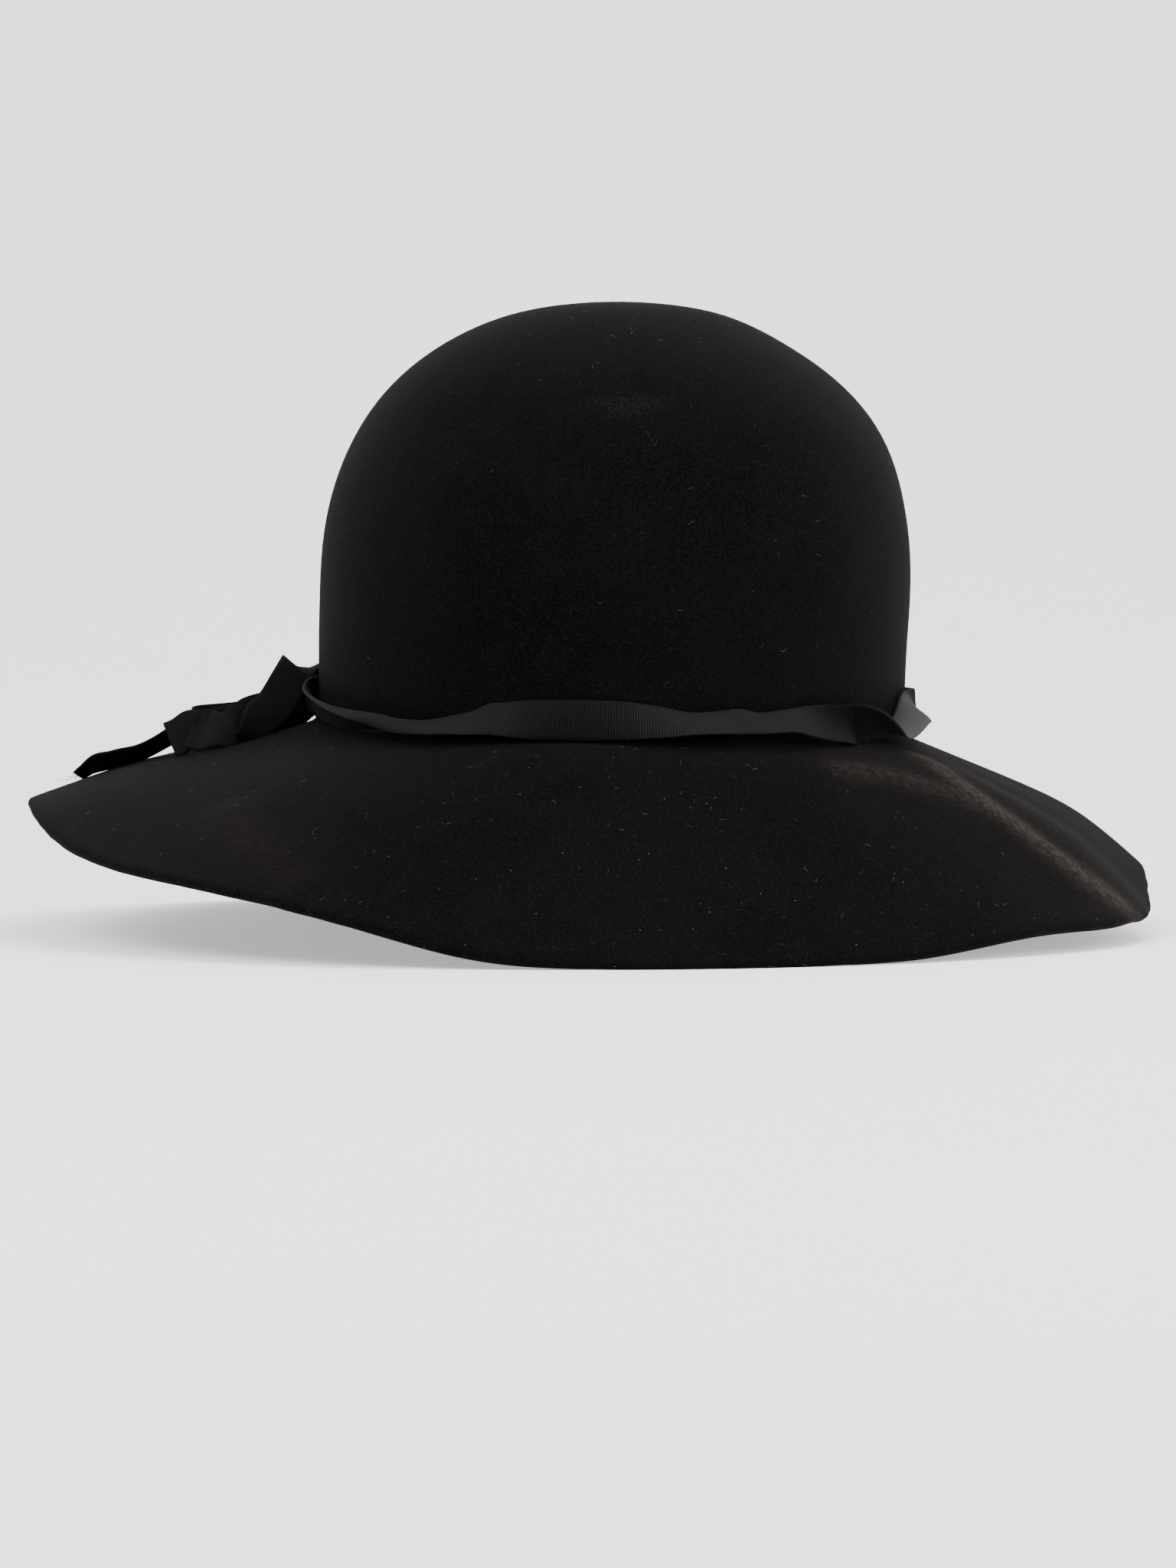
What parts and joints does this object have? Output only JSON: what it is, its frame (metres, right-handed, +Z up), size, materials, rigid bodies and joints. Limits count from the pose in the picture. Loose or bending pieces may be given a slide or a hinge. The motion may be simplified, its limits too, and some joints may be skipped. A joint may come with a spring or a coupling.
{
  "type": "wide-brimmed cloche hat",
  "caption": "Felt hat with a deep rounded crown, a wide drooping raw-edged brim and a narrow ribbed ribbon round the crown, loosely tied in a bow at one side.",
  "frame": {"origin": "middle of the hat's outline, on the surface that it stands on", "axes": "+Z up through the crown, -Y towards the front, +X towards the side away from the bow"},
  "size_m": [0.3412, 0.3312, 0.191],
  "materials": {
    "felt": "matte wool felt",
    "ribbon": "dull ribbed grosgrain"
  },
  "bodies": {
    "root": {"felt_body": "felt", "ribbon_band": "ribbon", "ribbon_knot": "ribbon", "bow_loop_upper": "ribbon", "bow_loop_lower": "ribbon", "ribbon_tail_short": "ribbon", "ribbon_tail_long": "ribbon"}
  },
  "joints": []
}
